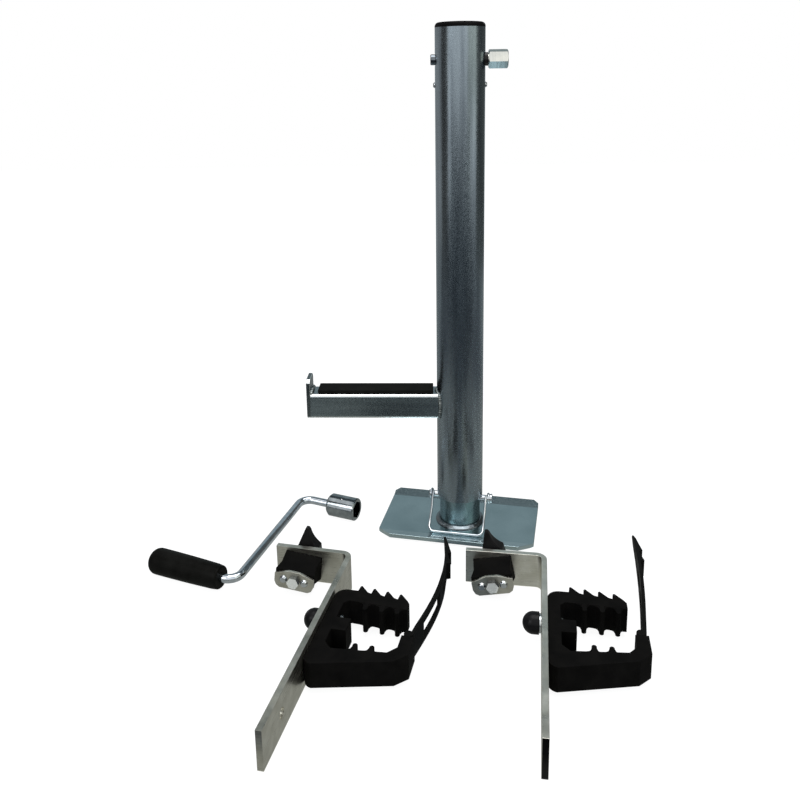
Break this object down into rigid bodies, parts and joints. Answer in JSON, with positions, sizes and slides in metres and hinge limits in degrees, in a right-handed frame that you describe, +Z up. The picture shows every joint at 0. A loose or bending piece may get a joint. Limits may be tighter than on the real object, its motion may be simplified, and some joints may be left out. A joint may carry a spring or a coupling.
{
  "type": "high-lift jack",
  "caption": "Screw-type lifting jack: tube column with side arm on a ram and foot plate, hexagonal side drive, loose crank, and flat-bar storage brackets with rubber clamps and cam anchors.",
  "frame": {"origin": "on the floor, at the middle of the foot plate's underside, under the column's axis", "axes": "+Z up along the column, the lifting arm points along -X, and the brackets and crank lie in front, along -Y"},
  "size_m": [0.5686, 0.4775, 0.6186],
  "materials": {
    "column_zinc": "zinc plated, softly streaked",
    "ram_zinc": "zinc plated, smooth",
    "foot_zinc": "zinc plated sheet, soft sheen",
    "weld_zinc": "plated weld bead",
    "hex_zinc": "pale zinc, machined",
    "bright_wire": "bright plated wire and pins",
    "inner_steel": "oiled machined steel",
    "bearing_steel": "ground bearing steel",
    "gear_steel": "dark sintered steel, greased",
    "bronze": "cast bronze",
    "cap_plastic": "glossy black moulding",
    "bush_plastic": "dark bearing plastic",
    "pad_rubber": "matte black rubber",
    "clamp_rubber": "matte black moulded rubber",
    "strap_rubber": "matte black moulded rubber",
    "anchor_rubber": "matte black rubber block",
    "bar_steel": "brushed stainless flat bar",
    "fitting_steel": "plated fastener",
    "knob_plastic": "black cap nut",
    "lever_plastic": "black moulded lever",
    "crank_chrome": "bright plated rod",
    "grip_plastic": "black moulded grip"
  },
  "bodies": {
    "foot": {"foot_plate": "foot_zinc", "foot_collar": "bright_wire", "foot_spigot": "inner_steel", "ram_tube": "ram_zinc", "screw_nut": "bronze", "nut_pins": "bearing_steel", "lock_pin": "bright_wire"},
    "bail": {"wire_bail": "bright_wire"},
    "column": {"column_tube": "column_zinc", "lift_arm": "column_zinc", "arm_end_plate": "column_zinc", "arm_welds": "weld_zinc", "arm_pad": "pad_rubber", "top_cap": "cap_plastic", "bush_left": "bush_plastic", "bush_right": "bush_plastic", "bearing_plate": "inner_steel", "bearing_screws": "fitting_steel", "race_upper": "bearing_steel"},
    "drive": {"drive_shaft": "hex_zinc", "drive_pinion": "gear_steel", "pinion_pin": "bearing_steel", "shaft_clip": "bearing_steel"},
    "screw": {"lead_screw": "inner_steel", "screw_gear": "gear_steel", "gear_pin": "bearing_steel", "race_lower": "bearing_steel", "thrust_cage": "bronze", "thrust_balls": "bearing_steel", "screw_stop": "inner_steel"},
    "crank": {"crank_rod": "crank_chrome", "crank_socket": "crank_chrome", "socket_ball": "bearing_steel", "grip_clip": "bearing_steel"},
    "grip": {"crank_grip": "grip_plastic"},
    "bracket_left": {"bar_left": "bar_steel", "clamp_left": "clamp_rubber", "clamp_bolt_left": "fitting_steel", "clamp_washer_left": "fitting_steel", "cap_nut_left": "knob_plastic", "anchor_block_left": "anchor_rubber", "end_plate_left": "bar_steel", "anchor_rivets_left": "fitting_steel", "anchor_rod_left": "fitting_steel", "lever_pin_left": "gear_steel"},
    "strap_body_left": {"strap_left": "strap_rubber"},
    "lever_body_left": {"lever_left": "lever_plastic"},
    "bracket_right": {"bar_right": "bar_steel", "clamp_right": "clamp_rubber", "clamp_bolt_right": "fitting_steel", "clamp_washer_right": "fitting_steel", "cap_nut_right": "knob_plastic", "anchor_block_right": "anchor_rubber", "end_plate_right": "bar_steel", "anchor_rivets_right": "fitting_steel", "anchor_rod_right": "fitting_steel", "lever_pin_right": "gear_steel"},
    "strap_body_right": {"strap_right": "strap_rubber"},
    "lever_body_right": {"lever_right": "lever_plastic"}
  },
  "joints": [
    {"name": "lift", "type": "slide", "parent": "foot", "child": "column", "axis": [0, 0, 1], "range_m": [0, 0.32]},
    {"name": "screw_spin", "type": "hinge", "parent": "column", "child": "screw", "pos_m": [0, 0, 0.5], "axis": [0, 0, 1], "continuous": true},
    {"name": "drive_spin", "type": "hinge", "parent": "column", "child": "drive", "pos_m": [0, 0, 0.5771], "axis": [1, 0, 0], "continuous": true},
    {"name": "bail_swing", "type": "hinge", "parent": "foot", "child": "bail", "pos_m": [0, 0, 0.03645], "axis": [-0.9839, 0.1788, 0], "range_deg": [0, 84]},
    {"name": "crank_lift", "type": "slide", "parent": "foot", "child": "crank", "axis": [0, 0, 1], "range_m": [0, 0.1]},
    {"name": "grip_spin", "type": "hinge", "parent": "crank", "child": "grip", "pos_m": [-0.2545, -0.156, 0.015], "axis": [-0.9304, 0.3665, 0], "continuous": true},
    {"name": "bracket_lift_left", "type": "slide", "parent": "foot", "child": "bracket_left", "axis": [0, 0, 1], "range_m": [0, 0.2]},
    {"name": "strap_flex_left", "type": "hinge", "parent": "bracket_left", "child": "strap_body_left", "pos_m": [-0.05831, -0.26548, 0.02], "axis": [0, 0, 1], "range_deg": [-2, 12], "stiffness_Nm_per_rad": 0.1},
    {"name": "lever_swing_left", "type": "hinge", "parent": "bracket_left", "child": "lever_body_left", "pos_m": [-0.1783, -0.11354, 0.02], "axis": [-0.9759, 0.1915, 0.1045], "range_deg": [0, 85]},
    {"name": "bracket_lift_right", "type": "slide", "parent": "foot", "child": "bracket_right", "axis": [0, 0, 1], "range_m": [0, 0.2]},
    {"name": "strap_flex_right", "type": "hinge", "parent": "bracket_right", "child": "strap_body_right", "pos_m": [0.16682, -0.26049, 0.02], "axis": [0, 0, 1], "range_deg": [-20, 12], "stiffness_Nm_per_rad": 0.1},
    {"name": "lever_swing_right", "type": "hinge", "parent": "bracket_right", "child": "lever_body_right", "pos_m": [0.03627, -0.11751, 0.02], "axis": [-0.9743, 0.1196, -0.1908], "range_deg": [0, 85]}
  ],
  "couplings": [
    {"joint": "screw_spin", "follows": "lift", "rad_per_m": 1256.6},
    {"joint": "drive_spin", "follows": "lift", "rad_per_m": 1885}
  ]
}
